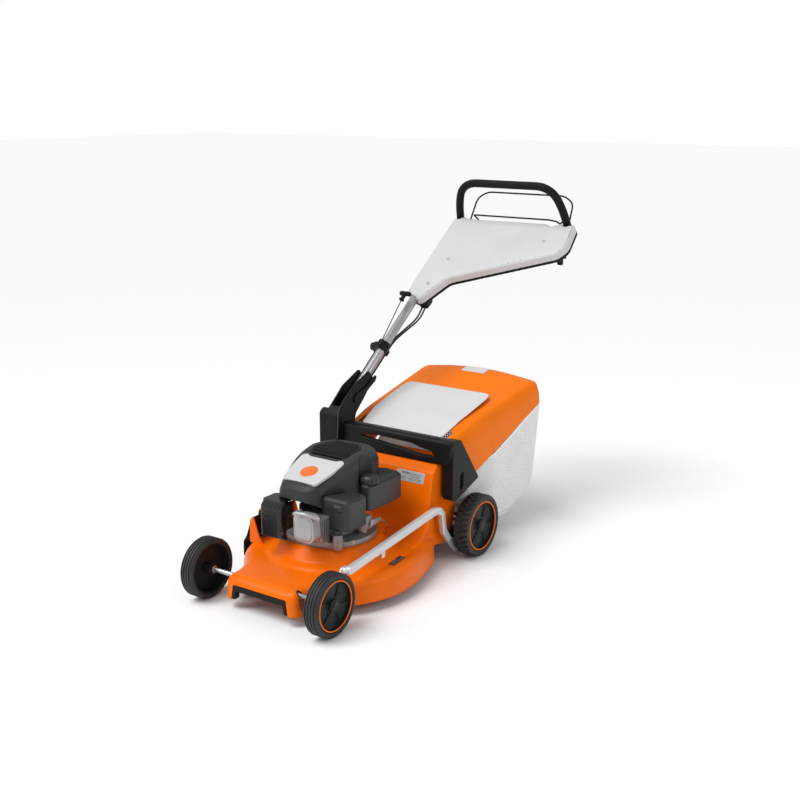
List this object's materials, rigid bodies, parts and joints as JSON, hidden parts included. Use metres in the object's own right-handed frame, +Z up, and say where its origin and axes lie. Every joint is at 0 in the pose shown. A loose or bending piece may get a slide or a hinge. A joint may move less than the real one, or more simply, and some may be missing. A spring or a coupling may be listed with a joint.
{
  "type": "push lawn mower",
  "caption": "Petrol walk-behind mower: steel deck, vertical-shaft engine, four height-adjustable wheels, rear catcher and a folding single-column handle",
  "frame": {"origin": "centre of the mower's footprint on the ground, at the lowest cutting height with the handle up", "axes": "+Z up, +Y from the deck's nose towards the operator, +X towards the operator's left"},
  "size_m": [0.547, 1.5327, 1.1357],
  "materials": {
    "orange_steel": "powder coat",
    "black_plastic": "grained",
    "orange_plastic": "satin",
    "white_plastic": "satin",
    "grey_plastic": "grained",
    "cast_aluminium": "as cast",
    "steel": "zinc plated",
    "dark_steel": "black paint",
    "column_metal": "silver paint",
    "tyre": "moulded",
    "black_rubber": "smooth",
    "cast_iron": "machined",
    "white_mesh": "perforated",
    "rope": "braided",
    "bushing": "plain",
    "badge": "plate"
  },
  "bodies": {
    "chassis": {"deck_shell": "orange_steel", "front_liner": "black_plastic", "rear_arch": "black_plastic", "handle_bracket": "black_plastic", "crankcase": "cast_aluminium", "cylinder": "cast_aluminium", "valve_cover": "cast_aluminium", "engine_shroud": "grey_plastic", "shroud_panel": "white_plastic", "recoil_grille": "grey_plastic", "fuel_tank": "grey_plastic", "air_filter": "grey_plastic", "carburettor": "cast_aluminium", "muffler": "cast_iron", "muffler_guard": "dark_steel", "spark_plug": "steel", "fasteners": "steel", "deck_plates": "badge", "drive_belt": "black_rubber", "cable_tails": "black_rubber"},
    "front_lift": {"front_cranks": "steel", "front_axle": "steel"},
    "rear_lift": {"rear_cranks": "steel", "gearbox": "cast_aluminium", "rear_bushes": "bushing"},
    "link": {"height_link": "steel"},
    "drive_shaft": {"drive_shaft": "steel"},
    "wheel_front_left": {"tyre_front_left": "tyre", "rim_front_left": "black_plastic"},
    "wheel_front_right": {"tyre_front_right": "tyre", "rim_front_right": "black_plastic"},
    "wheel_rear_left": {"tyre_rear_left": "tyre", "rim_rear_left": "black_plastic"},
    "wheel_rear_right": {"tyre_rear_right": "tyre", "rim_rear_right": "black_plastic"},
    "rotor": {"crankshaft": "steel", "flywheel": "cast_iron", "blade": "steel", "blade_bolt": "steel"},
    "flap": {"discharge_flap": "white_plastic"},
    "catcher": {"catcher_cover": "orange_plastic", "catcher_basket": "white_mesh"},
    "level": {"level_flap": "white_plastic"},
    "handle": {"handle_column": "column_metal", "rope_guide": "black_plastic", "console_top": "white_plastic", "console_base": "black_plastic", "console_screws": "steel", "handle_loop": "black_rubber", "control_cables": "black_rubber", "start_rope": "rope"},
    "lock": {"lock_lever": "black_plastic"},
    "grip": {"start_grip": "black_plastic"},
    "stop_bail": {"stop_bail": "dark_steel"},
    "drive_bail": {"drive_bail": "dark_steel"},
    "speed": {"speed_lever": "black_plastic"},
    "fuel_cap": {"fuel_cap": "grey_plastic"},
    "oil_cap": {"oil_cap": "black_plastic"},
    "side_cover": {"side_cover": "black_plastic"}
  },
  "joints": [
    {"name": "front_height", "type": "hinge", "parent": "chassis", "child": "front_lift", "pos_m": [0, -0.61122, 0.072], "axis": [1, 0, 0], "range_deg": [0, 50]},
    {"name": "rear_height", "type": "hinge", "parent": "chassis", "child": "rear_lift", "pos_m": [0, -0.02322, 0.085], "axis": [1, 0, 0], "range_deg": [-40, 0], "deforming": ["drive_belt"]},
    {"name": "link_swing", "type": "hinge", "parent": "front_lift", "child": "link", "pos_m": [0.199, -0.59432, 0.10825], "axis": [1, 0, 0], "range_deg": [-50, 0]},
    {"name": "front_left_roll", "type": "hinge", "parent": "front_lift", "child": "wheel_front_left", "pos_m": [0.228, -0.67322, 0.09], "axis": [1, 0, 0], "continuous": true},
    {"name": "front_right_roll", "type": "hinge", "parent": "front_lift", "child": "wheel_front_right", "pos_m": [-0.228, -0.67322, 0.09], "axis": [1, 0, 0], "continuous": true},
    {"name": "rear_left_roll", "type": "hinge", "parent": "rear_lift", "child": "wheel_rear_left", "pos_m": [0.246, 0.05578, 0.1], "axis": [1, 0, 0], "continuous": true},
    {"name": "rear_right_roll", "type": "hinge", "parent": "rear_lift", "child": "wheel_rear_right", "pos_m": [-0.246, 0.05578, 0.1], "axis": [1, 0, 0], "continuous": true},
    {"name": "shaft_spin", "type": "hinge", "parent": "rear_lift", "child": "drive_shaft", "pos_m": [0, 0.05578, 0.1], "axis": [1, 0, 0], "continuous": true},
    {"name": "blade_spin", "type": "hinge", "parent": "chassis", "child": "rotor", "pos_m": [0, -0.37322, 0.06], "axis": [0, 0, 1], "continuous": true},
    {"name": "flap_lift", "type": "hinge", "parent": "chassis", "child": "flap", "pos_m": [0, -0.01522, 0.386], "axis": [1, 0, 0], "range_deg": [0, 80]},
    {"name": "catcher_pull", "type": "slide", "parent": "chassis", "child": "catcher", "axis": [0, 1, 0], "range_m": [0, 0.45]},
    {"name": "level_tilt", "type": "hinge", "parent": "catcher", "child": "level", "pos_m": [0, 0.42178, 0.49595], "axis": [1, 0, 0], "range_deg": [0, 25]},
    {"name": "handle_fold", "type": "hinge", "parent": "chassis", "child": "handle", "pos_m": [-0.2, 0.01078, 0.479], "axis": [1, 0, 0], "range_deg": [0, 125], "deforming": ["control_cables", "start_rope", "cable_tails"]},
    {"name": "lock_swing", "type": "hinge", "parent": "chassis", "child": "lock", "pos_m": [-0.17, -0.01679, 0.46574], "axis": [1, 0, 0], "range_deg": [0, 60]},
    {"name": "grip_pull", "type": "slide", "parent": "handle", "child": "grip", "axis": [0, 0.7986, 0.6018], "range_m": [0, 0.4]},
    {"name": "stop_squeeze", "type": "hinge", "parent": "handle", "child": "stop_bail", "pos_m": [0.186, 0.70049, 0.96117], "axis": [1, 0, 0], "range_deg": [0, 40], "stiffness_Nm_per_rad": 0.5},
    {"name": "drive_squeeze", "type": "hinge", "parent": "handle", "child": "drive_bail", "pos_m": [0.164, 0.6893, 0.95274], "axis": [1, 0, 0], "range_deg": [0, 30], "stiffness_Nm_per_rad": 0.5},
    {"name": "speed_shift", "type": "hinge", "parent": "handle", "child": "speed", "pos_m": [0.216, 0.62303, 0.89779], "axis": [1, 0, 0], "range_deg": [-18, 18]},
    {"name": "fuel_cap_turn", "type": "hinge", "parent": "chassis", "child": "fuel_cap", "pos_m": [0.112, -0.32922, 0.326], "axis": [0, 0, 1], "range_deg": [0, 110]},
    {"name": "oil_cap_turn", "type": "hinge", "parent": "chassis", "child": "oil_cap", "pos_m": [0.104, -0.47722, 0.206], "axis": [0, 0, 1], "range_deg": [0, 110]},
    {"name": "side_cover_lift", "type": "hinge", "parent": "chassis", "child": "side_cover", "pos_m": [-0.229, -0.37322, 0.176], "axis": [0, 1, 0], "range_deg": [0, 75]}
  ],
  "couplings": [
    {"joint": "rear_height", "follows": "front_height", "ratio": -0.8},
    {"joint": "link_swing", "follows": "front_height", "ratio": -1}
  ]
}
